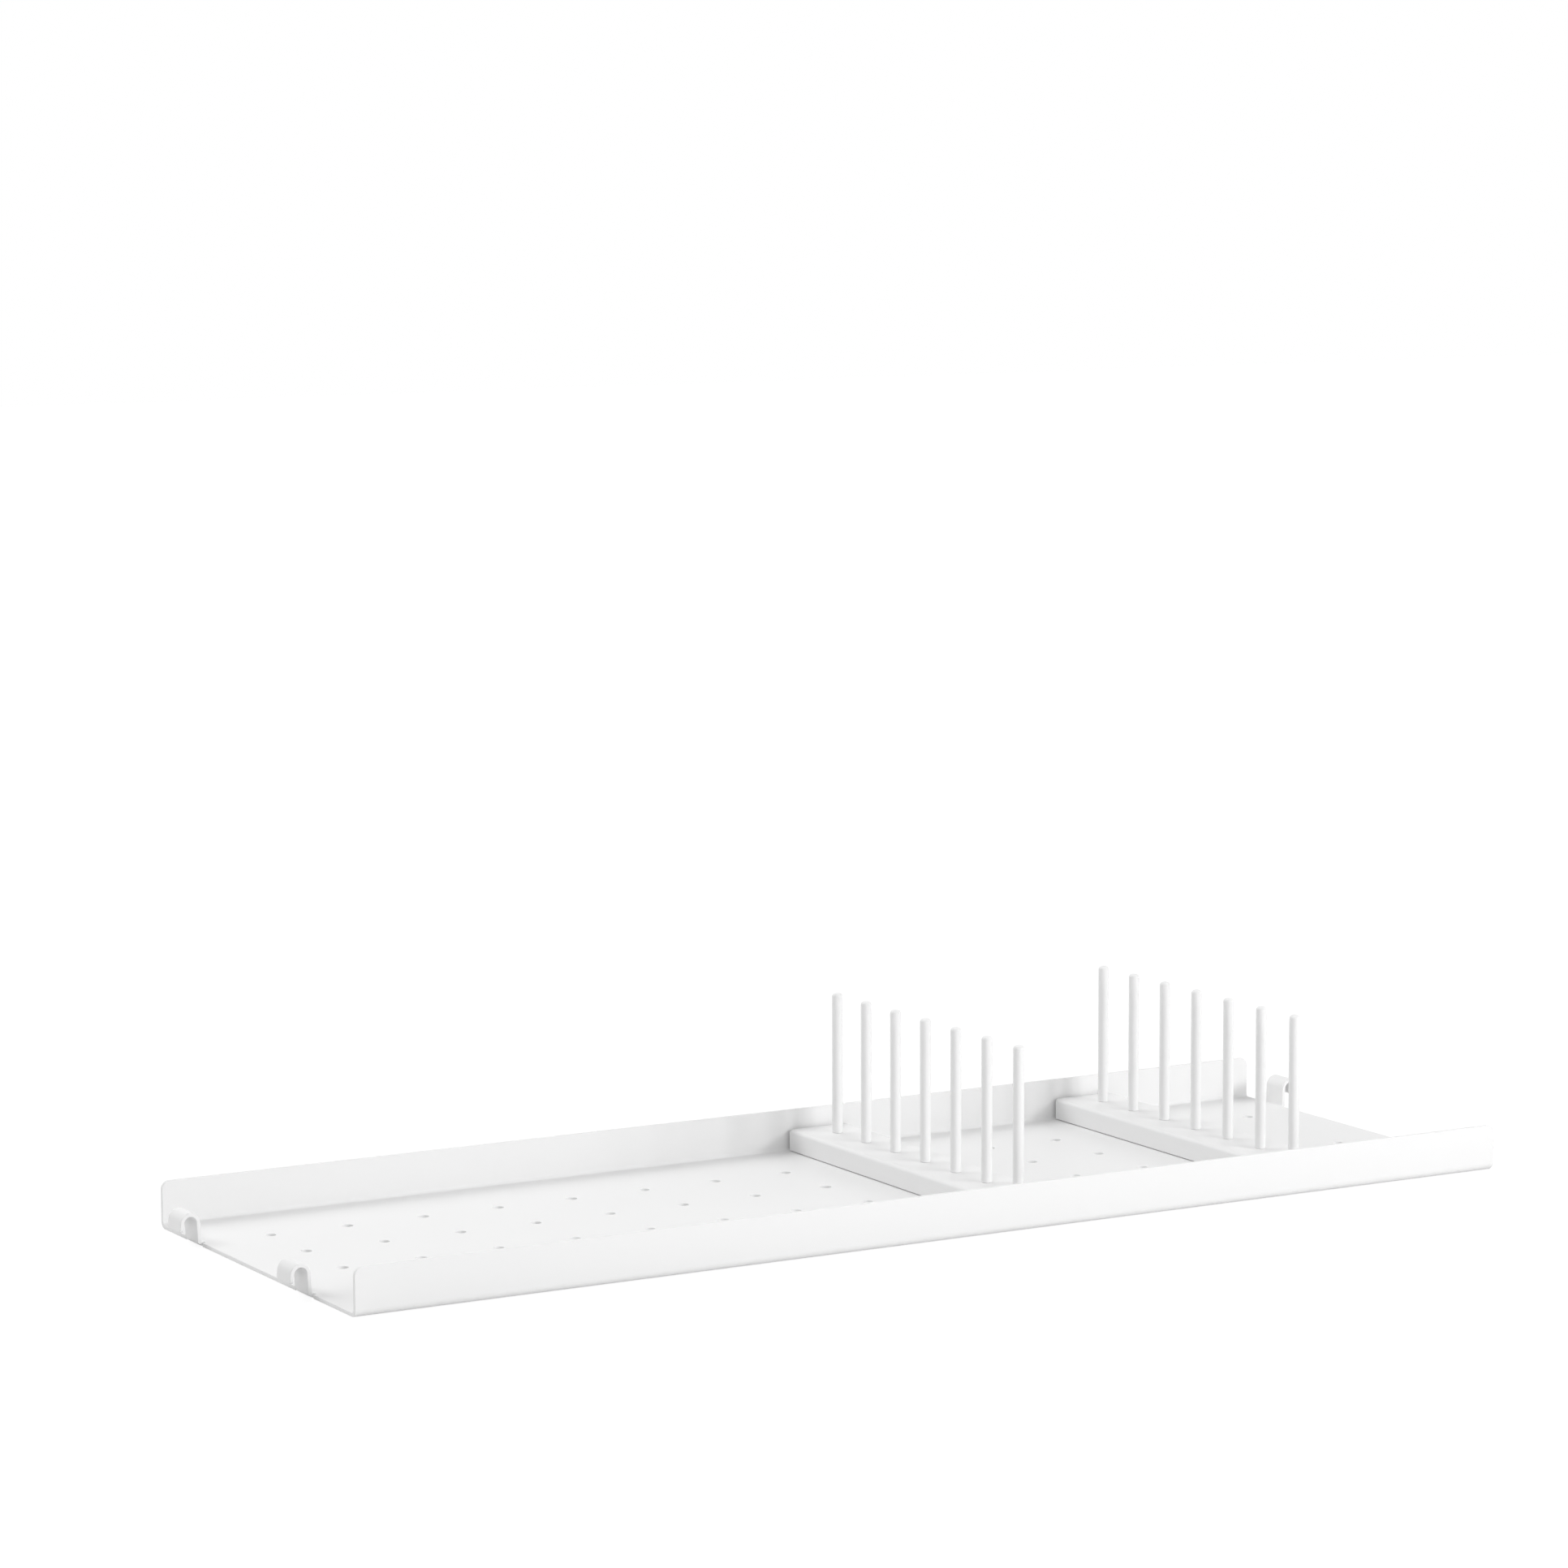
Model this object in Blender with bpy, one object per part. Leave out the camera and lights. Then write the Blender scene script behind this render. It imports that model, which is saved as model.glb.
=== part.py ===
"""Perforated shelf tray that hangs on rungs by bent hooks, with two loose plate racks laid across it.

Metres, +Z up. X runs along the tray from left to right and Y from front to back.
The origin is the middle of the tray's underside.
"""
import math

import bmesh
import bpy
from mathutils import Matrix, Vector

MM = 0.001

# Fits
TOUCH_GAP = 0.3 * MM        # space kept between pieces that touch

# Shelf tray: one sheet, folded up at the front and back
TRAY_LENGTH = 580.0 * MM
TRAY_DEPTH = 200.0 * MM
TRAY_SHEET = 1.8 * MM
FLANGE_HEIGHT = 21.2 * MM
FLANGE_BEND = 1.5 * MM      # inside radius of the fold
FLANGE_CORNER = 4.0 * MM    # rounding of a flange's top corners, seen from the front

# Perforation of the tray's floor
HOLE_DIAMETER = 5.0 * MM
HOLE_PITCH = 37.0 * MM
HOLE_END_MARGIN = 26.0 * MM     # least distance from the tray's end to a hole's centre
HOLE_SIDE_MARGIN = 40.0 * MM    # least distance from a flange's outside to a hole's centre
HOLE_SHIFT_X = 1.1 * MM         # the punched field sits this far off the tray's centre
HOLE_SHIFT_Y = -1.2 * MM

# Hooks: strips of the same sheet bent up and over at the tray's ends
HOOK_WIDTH = 13.6 * MM
HOOK_BEND = 0.6 * MM        # inside radius at the root
HOOK_INSET = 0.6 * MM       # from the tray's end in to the foot of the inner leg
HOOK_LEAN = 2.5             # degrees that the inner leg leans outwards
HOOK_FLARE = 6.0            # degrees that the outer leg opens outwards
HOOK_THROAT = 5.7 * MM      # clear width under the arch, for the rung
HOOK_TOP = 15.0 * MM        # height above the tray's underside
HOOK_TIP = 6.6 * MM         # height of the outer leg's end
HOOK_TIP_CORNER = 1.5 * MM
RELIEF_WIDTH = 2.0 * MM
RELIEF_RUN = 0.4 * MM       # depth of a relief notch past the root's bend
LEFT_HOOK_FROM_FRONT = 49.6 * MM    # hook centre to the front flange's outside
LEFT_HOOK_FROM_BACK = 36.3 * MM     # hook centre to the back flange's outside
RIGHT_HOOK_FROM_FRONT = 18.0 * MM
RIGHT_HOOK_FROM_BACK = 25.8 * MM

# Rack bars: channels with their open side down, laid between the flanges
BAR_WIDTH = 31.6 * MM
BAR_HEIGHT = 10.0 * MM
BAR_SHEET = 1.2 * MM
BAR_BEND = 0.6 * MM         # inside radius of the folds
BAR_END_PLAY = 0.2 * MM     # from each end of the bar to the start of the flange's fold
RIGHT_RACK_FROM_END = 97.9 * MM     # bar's middle to the tray's right end
RACK_SPACING = 148.7 * MM

# Pegs: turned rods with domed tips
PEG_COUNT = 7
PEG_DIAMETER = 5.0 * MM
PEG_RISE = 66.2 * MM        # tip above the bar's top
PEG_TIP_ROUND = 1.6 * MM    # radius that turns the peg's side into its tip
PEG_END_MARGIN = 17.65 * MM     # first peg's axis to the bar's end

# Screws that hold the pegs from below
SCREW_DIAMETER = 3.0 * MM
SCREW_GRIP = 8.0 * MM       # length inside the peg
SCREW_HEAD_DIAMETER = 5.6 * MM
SCREW_HEAD_HEIGHT = 2.0 * MM
SCREW_HEAD_ROUND = 0.8 * MM
SCREW_SOCKET_DIAMETER = 2.3 * MM
SCREW_SOCKET_DEPTH = 1.1 * MM
PEG_HOLE_SPARE = 2.0 * MM   # depth of the peg's hole past the screw's end

# Facets
FOLD_STEPS = 4              # per quarter turn of a bend
CORNER_STEPS = 4
HOLE_SIDES = 12
PEG_SIDES = 16
SCREW_SIDES = 12

TOP_OF_FLOOR = TRAY_SHEET
END_X = TRAY_LENGTH / 2
HOOK_FOLD_X = END_X - HOOK_INSET - HOOK_BEND    # where a hook's root starts to bend
INSIDE_Y = TRAY_DEPTH / 2 - TRAY_SHEET
BAR_LENGTH = 2 * (INSIDE_Y - FLANGE_BEND - BAR_END_PLAY)
BAR_BOTTOM = TOP_OF_FLOOR + TOUCH_GAP   # the bars lie on the floor between the two folds
SCREW_HOLE_DIAMETER = SCREW_DIAMETER + 2 * TOUCH_GAP


def clear_scene():
    for obj in list(bpy.data.objects):
        bpy.data.objects.remove(obj, do_unlink=True)


def finish(name, colour, roughness, metallic):
    material = bpy.data.materials.new(name)
    material.use_nodes = True
    shader = material.node_tree.nodes["Principled BSDF"]
    shader.inputs["Base Color"].default_value = (*colour, 1.0)
    shader.inputs["Roughness"].default_value = roughness
    shader.inputs["Metallic"].default_value = metallic
    return material


def mesh_from(bm, name, material=None):
    bmesh.ops.recalc_face_normals(bm, faces=bm.faces)
    mesh = bpy.data.meshes.new(name)
    bm.to_mesh(mesh)
    bm.free()
    if material:
        mesh.materials.append(material)
    mesh.shade_smooth()
    mesh.set_sharp_from_angle(angle=math.radians(35))
    return mesh


def place(name, mesh, location=(0, 0, 0), parent=None):
    obj = bpy.data.objects.new(name, mesh)
    obj.location = location
    obj.parent = parent
    bpy.context.scene.collection.objects.link(obj)
    return obj


def punch(obj, centres, diameter, low, high, parent=None, location=(0, 0, 0)):
    """Cut a round hole at each (x, y) of centres, all the way from height low to height high."""
    bm = bmesh.new()
    for x, y in centres:
        where = Matrix.Translation((x, y, (low + high) / 2))
        bmesh.ops.create_cone(bm, cap_ends=True, segments=HOLE_SIDES, radius1=diameter / 2,
                              radius2=diameter / 2, depth=high - low, matrix=where)
    cutter = place(obj.name + "_punch", mesh_from(bm, obj.name + "_punch"), location, parent)
    cutter.hide_render = True
    cutter.display_type = "WIRE"
    cut = obj.modifiers.new("holes", "BOOLEAN")
    cut.operation = "DIFFERENCE"
    cut.solver = "EXACT"
    cut.object = cutter


# Sheet work: a blank is cut to an outline, and strips run on from its edges straight or round a bend

def blank(outline, bottom, thickness):
    """A flat sheet from its outline, which is a list of (x, y) taken anticlockwise from above."""
    bm = bmesh.new()
    rim = [bm.verts.new((x, y, bottom)) for x, y in outline]
    sheet = bm.faces.new(rim)
    made = bmesh.ops.extrude_face_region(bm, geom=[sheet], use_keep_orig=True)
    lifted = [item for item in made["geom"] if isinstance(item, bmesh.types.BMVert)]
    bmesh.ops.translate(bm, vec=(0, 0, thickness), verts=lifted)
    return bm


def edge_face(bm, centre):
    """The face whose middle is at centre."""
    centre = Vector(centre)
    return min(bm.faces, key=lambda face: (face.calc_center_median() - centre).length)


def run_straight(bm, face, along):
    end = bmesh.ops.extrude_discrete_faces(bm, faces=[face])["faces"][0]
    bmesh.ops.translate(bm, vec=along, verts=end.verts)
    return end


def run_round(bm, face, pivot, axis, degrees):
    steps = round(FOLD_STEPS * abs(degrees) / 90)
    turn = Matrix.Rotation(math.radians(degrees) / steps, 3, axis)
    for _ in range(steps):
        face = bmesh.ops.extrude_discrete_faces(bm, faces=[face])["faces"][0]
        bmesh.ops.rotate(bm, cent=pivot, matrix=turn, verts=face.verts)
    return face


def round_corners(bm, face, across, radius):
    """Round the two ends of a strip's end face: its edges that run along the unit vector across."""
    across = Vector(across)
    ends = []
    for edge in face.edges:
        direction = edge.verts[1].co - edge.verts[0].co
        if abs(direction.normalized().dot(across)) > 0.9:
            ends.append(edge)
    bmesh.ops.bevel(bm, geom=ends, offset=radius, offset_type="OFFSET", segments=CORNER_STEPS,
                    profile=0.5, affect="EDGES", clamp_overlap=True)


# Shelf tray

def hook_places():
    """Each hook as (side, y): side is -1 at the left end and 1 at the right, y is its middle."""
    half = TRAY_DEPTH / 2
    return [
        (-1, LEFT_HOOK_FROM_FRONT - half),
        (-1, half - LEFT_HOOK_FROM_BACK),
        (1, RIGHT_HOOK_FROM_FRONT - half),
        (1, half - RIGHT_HOOK_FROM_BACK),
    ]


def hook_root(y):
    """The tray's right-hand edge beside and under a hook, front to back, with its relief notches."""
    near = y - HOOK_WIDTH / 2
    far = y + HOOK_WIDTH / 2
    notch = HOOK_FOLD_X - RELIEF_RUN
    return [
        (END_X, near - RELIEF_WIDTH), (notch, near - RELIEF_WIDTH), (notch, near), (HOOK_FOLD_X, near),
        (HOOK_FOLD_X, far), (notch, far), (notch, far + RELIEF_WIDTH), (END_X, far + RELIEF_WIDTH),
    ]


def tray_outline(flat):
    """The tray's floor between its two folds, seen from above."""
    right_end = [(END_X, -flat)]
    left_end = [(-END_X, -flat)]
    for side, y in hook_places():
        for x, edge_y in hook_root(y):
            if side > 0:
                right_end.append((x, edge_y))
            else:
                left_end.append((-x, edge_y))
    right_end.append((END_X, flat))
    left_end.append((-END_X, flat))
    return right_end + left_end[::-1]


def fold_up_flange(bm, side, flat):
    """Fold the sheet's long edge up: side is -1 at the front and 1 at the back."""
    fold_height = TRAY_SHEET + FLANGE_BEND
    edge = edge_face(bm, (0, side * flat, TRAY_SHEET / 2))
    edge = run_round(bm, edge, (0, side * flat, fold_height), "X", side * 90)
    rim = run_straight(bm, edge, (0, 0, FLANGE_HEIGHT - fold_height))
    round_corners(bm, rim, (0, 1, 0), FLANGE_CORNER)


def bend_hook(bm, side, y):
    """Bend the strip at a hook's root up, over an arch and down again."""
    lean = math.radians(HOOK_LEAN)
    flare = math.radians(HOOK_FLARE)
    up = Vector((side * math.sin(lean), 0, math.cos(lean)))
    out = Vector((side * math.cos(lean), 0, -math.sin(lean)))
    down = Vector((side * math.sin(flare), 0, -math.cos(flare)))
    to_pivot = out * (TRAY_SHEET + HOOK_THROAT) / 2
    arch_height = HOOK_TOP - TRAY_SHEET - HOOK_THROAT / 2
    strip = edge_face(bm, (side * HOOK_FOLD_X, y, TRAY_SHEET / 2))
    strip = run_round(bm, strip, (side * HOOK_FOLD_X, y, TRAY_SHEET + HOOK_BEND), "Y", side * (HOOK_LEAN - 90))
    climb = arch_height - to_pivot.z - strip.calc_center_median().z
    strip = run_straight(bm, strip, up * climb / up.z)
    pivot = strip.calc_center_median() + to_pivot
    strip = run_round(bm, strip, pivot, "Y", side * (180 - HOOK_LEAN - HOOK_FLARE))
    drop = HOOK_TIP - strip.calc_center_median().z
    tip = run_straight(bm, strip, down * drop / down.z)
    round_corners(bm, tip, (1, 0, 0), HOOK_TIP_CORNER)


def centred_row(room, pitch, shift):
    """As many points as fit in the room at this pitch, centred and then shifted."""
    steps = int(room / pitch)
    return [(index - steps / 2) * pitch + shift for index in range(steps + 1)]


def make_tray(coat):
    flat = TRAY_DEPTH / 2 - TRAY_SHEET - FLANGE_BEND
    bm = blank(tray_outline(flat), 0, TRAY_SHEET)
    for side in (-1, 1):
        fold_up_flange(bm, side, flat)
    for side, y in hook_places():
        bend_hook(bm, side, y)
    tray = place("shelf_tray", mesh_from(bm, "shelf_tray", coat))
    columns = centred_row(TRAY_LENGTH - 2 * HOLE_END_MARGIN, HOLE_PITCH, HOLE_SHIFT_X)
    rows = centred_row(TRAY_DEPTH - 2 * HOLE_SIDE_MARGIN, HOLE_PITCH, HOLE_SHIFT_Y)
    holes = [(x, y) for x in columns for y in rows]
    punch(tray, holes, HOLE_DIAMETER, -TRAY_SHEET, 2 * TRAY_SHEET)


# Plate racks

def peg_rows():
    span = BAR_LENGTH - 2 * PEG_END_MARGIN
    return [span * (index / (PEG_COUNT - 1) - 0.5) for index in range(PEG_COUNT)]


def bar_mesh(coat):
    """A channel folded from a flat strip, standing on its two lower edges at height 0."""
    flat = BAR_WIDTH / 2 - BAR_SHEET - BAR_BEND
    half = BAR_LENGTH / 2
    fold_height = BAR_HEIGHT - BAR_SHEET - BAR_BEND
    strip = [(-flat, -half), (flat, -half), (flat, half), (-flat, half)]
    bm = blank(strip, BAR_HEIGHT - BAR_SHEET, BAR_SHEET)
    for side in (-1, 1):
        wall = edge_face(bm, (side * flat, 0, BAR_HEIGHT - BAR_SHEET / 2))
        wall = run_round(bm, wall, (side * flat, 0, fold_height), "Y", side * 90)
        run_straight(bm, wall, (0, 0, -fold_height))
    return mesh_from(bm, "rack_bar", coat)


def turned_mesh(name, profile, sides, material):
    """A solid turned about Z from its (radius, height) profile, whose ends lie on the axis."""
    bm = bmesh.new()
    points = [bm.verts.new((radius, 0, height)) for radius, height in profile]
    line = [bm.edges.new(pair) for pair in zip(points, points[1:])]
    bmesh.ops.spin(bm, geom=points + line, cent=(0, 0, 0), axis=(0, 0, 1), angle=math.tau,
                   steps=sides, use_merge=True)
    bmesh.ops.remove_doubles(bm, verts=bm.verts, dist=0.001 * MM)
    return mesh_from(bm, name, material)


def quarter_round(radius, centre_radius, centre_height, start, stop):
    """Points of an arc in a turned profile, from one angle to another in degrees."""
    points = []
    for step in range(CORNER_STEPS + 1):
        angle = math.radians(start + (stop - start) * step / CORNER_STEPS)
        points.append((centre_radius + radius * math.cos(angle), centre_height + radius * math.sin(angle)))
    return points


def peg_mesh(coat):
    """A peg with its foot at height 0 and its blind screw hole open below."""
    length = PEG_RISE - TOUCH_GAP
    hole_radius = SCREW_HOLE_DIAMETER / 2
    hole_depth = SCREW_GRIP + PEG_HOLE_SPARE
    profile = [(0, hole_depth + hole_radius / 2), (hole_radius, hole_depth), (hole_radius, 0),
               (PEG_DIAMETER / 2, 0)]
    shoulder = PEG_DIAMETER / 2 - PEG_TIP_ROUND
    profile += quarter_round(PEG_TIP_ROUND, shoulder, length - PEG_TIP_ROUND, 0, 90)
    profile.append((0, length))
    return turned_mesh("rack_peg", profile, PEG_SIDES, coat)


def screw_mesh(steel):
    """A button-head screw with its head's seat at height 0 and its shank upwards."""
    shank = BAR_SHEET + 2 * TOUCH_GAP + SCREW_GRIP
    head = SCREW_HEAD_DIAMETER / 2
    socket = SCREW_SOCKET_DIAMETER / 2
    profile = [(0, shank), (SCREW_DIAMETER / 2, shank), (SCREW_DIAMETER / 2, 0), (head, 0)]
    edge = head - SCREW_HEAD_ROUND
    profile += quarter_round(SCREW_HEAD_ROUND, edge, SCREW_HEAD_ROUND - SCREW_HEAD_HEIGHT, 0, -90)
    profile += [(socket, -SCREW_HEAD_HEIGHT), (socket, SCREW_SOCKET_DEPTH - SCREW_HEAD_HEIGHT),
                (0, SCREW_SOCKET_DEPTH - SCREW_HEAD_HEIGHT)]
    return turned_mesh("peg_screw", profile, SCREW_SIDES, steel)


def make_rack(name, x, bar, peg, screw):
    rack = place(name, None, (x, 0, BAR_BOTTOM))
    channel = place(name + "_bar", bar, parent=rack)
    rows = peg_rows()
    underside = BAR_HEIGHT - BAR_SHEET
    punch(channel, [(0, y) for y in rows], SCREW_HOLE_DIAMETER, underside - BAR_BEND,
          BAR_HEIGHT + BAR_BEND, parent=rack)
    for number, y in enumerate(rows, start=1):
        place(f"{name}_peg_{number}", peg, (0, y, BAR_HEIGHT + TOUCH_GAP), rack)
        place(f"{name}_screw_{number}", screw, (0, y, underside - TOUCH_GAP), rack)


clear_scene()
make_tray(finish("tray_coat", (0.86, 0.86, 0.86), 0.45, 0.0))
bar = bar_mesh(finish("bar_coat", (0.86, 0.86, 0.86), 0.45, 0.0))
peg = peg_mesh(finish("peg_coat", (0.85, 0.85, 0.85), 0.42, 0.0))
screw = screw_mesh(finish("screw_steel", (0.62, 0.62, 0.60), 0.35, 1.0))
right_x = END_X - RIGHT_RACK_FROM_END
make_rack("left_rack", right_x - RACK_SPACING, bar, peg, screw)
make_rack("right_rack", right_x, bar, peg, screw)
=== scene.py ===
"""A perforated shelf tray with two loose plate racks, finished in white powder coat.

Metres, +Z up. X runs along the tray from left to right and Y from front to back.
The origin is the middle of the tray's underside.
"""

import math

import bmesh
import bpy
from mathutils import Matrix, Vector


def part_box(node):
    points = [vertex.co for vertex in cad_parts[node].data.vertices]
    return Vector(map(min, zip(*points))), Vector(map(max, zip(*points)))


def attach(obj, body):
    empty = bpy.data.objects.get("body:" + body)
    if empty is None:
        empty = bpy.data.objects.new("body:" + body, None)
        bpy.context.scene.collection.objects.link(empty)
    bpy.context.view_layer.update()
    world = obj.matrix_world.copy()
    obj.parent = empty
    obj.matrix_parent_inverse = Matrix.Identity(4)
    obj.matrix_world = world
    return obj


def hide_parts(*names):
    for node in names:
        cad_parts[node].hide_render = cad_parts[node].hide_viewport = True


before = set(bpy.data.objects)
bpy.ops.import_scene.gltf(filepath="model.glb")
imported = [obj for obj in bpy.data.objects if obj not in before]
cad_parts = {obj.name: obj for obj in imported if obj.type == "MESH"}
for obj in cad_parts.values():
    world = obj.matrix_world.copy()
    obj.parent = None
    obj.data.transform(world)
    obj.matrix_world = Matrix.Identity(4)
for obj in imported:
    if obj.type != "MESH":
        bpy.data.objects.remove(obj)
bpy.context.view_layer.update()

# Viewpoint
# A long lens from the front left and a little above, with the tray low in a square picture.

LENS_MM = 119.05
SENSOR_MM = 36.0
VIEW_PLACE = (-1.1669, -1.9796, 0.4912)
VIEW_TURN = math.radians(-29.865)       # about Z, from looking along +Y
VIEW_DOWN = math.radians(7.5)
VIEW_ROLL = math.radians(-0.186)

lens = bpy.data.cameras.new("viewpoint")
lens.lens = LENS_MM
lens.sensor_width = SENSOR_MM
viewpoint = bpy.data.objects.new("viewpoint", lens)
bpy.context.scene.collection.objects.link(viewpoint)
turn = Matrix.Rotation(VIEW_TURN, 4, "Z")
tip_up = Matrix.Rotation(math.pi / 2 - VIEW_DOWN, 4, "X")
roll = Matrix.Rotation(VIEW_ROLL, 4, "Z")
viewpoint.matrix_world = Matrix.Translation(VIEW_PLACE) @ turn @ tip_up @ roll
bpy.context.scene.camera = viewpoint

# Shelf tray
# One sheet of mild steel, cut and punched flat, then folded up along the front and the back.
# Its four hooks are strips of the same sheet, bent up and over at the ends between relief notches.

MM = 0.001
TRAY_LENGTH = 580.0 * MM
TRAY_DEPTH = 200.0 * MM
TRAY_SHEET = 1.8 * MM
FLANGE_HEIGHT = 21.2 * MM
FLANGE_BEND = 1.5 * MM          # inside radius of the fold
FLANGE_CORNER = 4.0 * MM
TRAY_EDGE = 0.35 * MM           # rounding of the sheared edges under the coat
HOLE_RIM = 0.06 * MM            # rounding of the punched holes' rims
HOOK_WIDTH = 13.6 * MM
HOOK_BEND = 0.6 * MM
HOOK_INSET = 0.6 * MM           # from the tray's end in to the foot of the inner leg
HOOK_LEAN = 2.5                 # degrees that the inner leg leans outwards
HOOK_FLARE = 6.0                # degrees that the outer leg opens outwards
HOOK_THROAT = 5.7 * MM
HOOK_TOP = 15.0 * MM
HOOK_TIP = 6.6 * MM
HOOK_TIP_CORNER = 1.5 * MM
RELIEF_WIDTH = 2.0 * MM
RELIEF_RUN = 0.4 * MM
HOOKS = (                       # end of the tray, place in Y
    (-1, -50.4 * MM),
    (-1, 63.7 * MM),
    (1, -82.0 * MM),
    (1, 74.2 * MM),
)
HOLE_COLUMNS = 15
HOLE_ROWS = 4
HOLE_PITCH = 37.0 * MM
HOLE_DIAMETER = 5.0 * MM
HOLE_FIELD_MIDDLE = (1.1 * MM, -1.2 * MM, TRAY_SHEET / 2)
HOLE_SIDES = 32
PUNCH_REACH = 3                 # a punch's length in thicknesses of the sheet
BEND_STEP = 7.5                 # degrees between two lines of a bend
CORNER_LINES = 10
EDGE_LINES = 3
SAME_WAY = 0.9                  # cosine past which an edge runs along a direction
SHARP_EDGE = math.radians(40)
COAT_WHITE = (0.84, 0.84, 0.84)
COAT_DRIFT = 0.02               # how much the white darkens from place to place
COAT_SHEEN = 0.3                # powder coat mirrors less than smooth paint does
DRIFT_SCALE = 9.0               # slow changes of tone in a metre
DRIFT_SHARE = 0.7               # the slow part of the drift, where grain is the rest
GRAIN_FINENESS = 4.0            # grains to one mark of the peel
GRAIN_DULLNESS = 0.12           # how far roughness swings with the grain
NOISE_MIDDLE = 0.5              # noise runs from 0 to 1 about this
PEEL_SHARE = 0.75               # the peel's part of the relief, where grain is the rest
PEEL_STRENGTH = 0.6
TRAY_PEEL = 700.0               # marks of the peel in a metre
TRAY_DULLNESS = 0.45
TRAY_RELIEF = 0.03 * MM

END_X = TRAY_LENGTH / 2
HOOK_FOLD_X = END_X - HOOK_INSET - HOOK_BEND


def cut_sheet(outline, bottom, thickness):
    """A flat sheet from its (x, y) outline, taken anticlockwise from above."""
    bm = bmesh.new()
    rim = [bm.verts.new((x, y, bottom)) for x, y in outline]
    made = bmesh.ops.extrude_face_region(bm, geom=[bm.faces.new(rim)], use_keep_orig=True)
    lifted = [item for item in made["geom"] if isinstance(item, bmesh.types.BMVert)]
    bmesh.ops.translate(bm, vec=(0, 0, thickness), verts=lifted)
    return bm


def sheet_edge(bm, centre):
    """The face whose middle is at centre: a cut edge to run a strip on from."""
    centre = Vector(centre)
    return min(bm.faces, key=lambda face: (face.calc_center_median() - centre).length)


def run_straight(bm, edge, along):
    edge = bmesh.ops.extrude_discrete_faces(bm, faces=[edge])["faces"][0]
    bmesh.ops.translate(bm, vec=along, verts=edge.verts)
    return edge


def run_round(bm, edge, pivot, axis, degrees):
    steps = max(1, round(abs(degrees) / BEND_STEP))
    turn_once = Matrix.Rotation(math.radians(degrees) / steps, 3, axis)
    for _ in range(steps):
        edge = bmesh.ops.extrude_discrete_faces(bm, faces=[edge])["faces"][0]
        bmesh.ops.rotate(bm, cent=pivot, matrix=turn_once, verts=edge.verts)
    return edge


def round_strip_end(bm, edge, across, radius):
    """Round both corners at the end of a strip: the edges of its end face that run along across."""
    across = Vector(across)
    corners = []
    for side in edge.edges:
        direction = side.verts[1].co - side.verts[0].co
        if abs(direction.normalized().dot(across)) > SAME_WAY:
            corners.append(side)
    bmesh.ops.bevel(bm, geom=corners, offset=radius, offset_type="OFFSET", segments=CORNER_LINES,
                    profile=0.5, affect="EDGES", clamp_overlap=True)


def hook_root(y):
    """The tray's right-hand edge at a hook, front to back, with a relief notch on either side."""
    near = y - HOOK_WIDTH / 2
    far = y + HOOK_WIDTH / 2
    notch = HOOK_FOLD_X - RELIEF_RUN
    return [
        (END_X, near - RELIEF_WIDTH), (notch, near - RELIEF_WIDTH), (notch, near), (HOOK_FOLD_X, near),
        (HOOK_FOLD_X, far), (notch, far), (notch, far + RELIEF_WIDTH), (END_X, far + RELIEF_WIDTH),
    ]


def bend_hook(bm, end, y):
    """Bend the strip at a hook's root up, over an arch and down again."""
    lean = math.radians(HOOK_LEAN)
    flare = math.radians(HOOK_FLARE)
    up = Vector((end * math.sin(lean), 0, math.cos(lean)))
    out = Vector((end * math.cos(lean), 0, -math.sin(lean)))
    down = Vector((end * math.sin(flare), 0, -math.cos(flare)))
    to_pivot = out * (TRAY_SHEET + HOOK_THROAT) / 2
    arch_height = HOOK_TOP - TRAY_SHEET - HOOK_THROAT / 2
    strip = sheet_edge(bm, (end * HOOK_FOLD_X, y, TRAY_SHEET / 2))
    root_pivot = (end * HOOK_FOLD_X, y, TRAY_SHEET + HOOK_BEND)
    strip = run_round(bm, strip, root_pivot, "Y", end * (HOOK_LEAN - 90))
    climb = arch_height - to_pivot.z - strip.calc_center_median().z
    strip = run_straight(bm, strip, up * climb / up.z)
    pivot = strip.calc_center_median() + to_pivot
    strip = run_round(bm, strip, pivot, "Y", end * (180 - HOOK_LEAN - HOOK_FLARE))
    drop = HOOK_TIP - strip.calc_center_median().z
    tip = run_straight(bm, strip, down * drop / down.z)
    round_strip_end(bm, tip, (1, 0, 0), HOOK_TIP_CORNER)


def folded_tray():
    flat = TRAY_DEPTH / 2 - TRAY_SHEET - FLANGE_BEND
    right_end = [(END_X, -flat)]
    left_end = [(-END_X, -flat)]
    for end, y in HOOKS:
        for x, edge_y in hook_root(y):
            if end > 0:
                right_end.append((x, edge_y))
            else:
                left_end.append((-x, edge_y))
    right_end.append((END_X, flat))
    left_end.append((-END_X, flat))
    bm = cut_sheet(right_end + left_end[::-1], 0, TRAY_SHEET)
    fold_height = TRAY_SHEET + FLANGE_BEND
    for side in (-1, 1):
        edge = sheet_edge(bm, (0, side * flat, TRAY_SHEET / 2))
        edge = run_round(bm, edge, (0, side * flat, fold_height), "X", side * 90)
        rim = run_straight(bm, edge, (0, 0, FLANGE_HEIGHT - fold_height))
        round_strip_end(bm, rim, (0, 1, 0), FLANGE_CORNER)
    for end, y in HOOKS:
        bend_hook(bm, end, y)
    return bm


def plain_mesh(bm, name):
    bmesh.ops.recalc_face_normals(bm, faces=bm.faces)
    mesh = bpy.data.meshes.new(name)
    bm.to_mesh(mesh)
    bm.free()
    return mesh


def tree_socket(tree, name, kind, default=None):
    socket = tree.interface.new_socket(name, in_out="INPUT", socket_type=kind)
    if default is not None:
        socket.default_value = default


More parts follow.
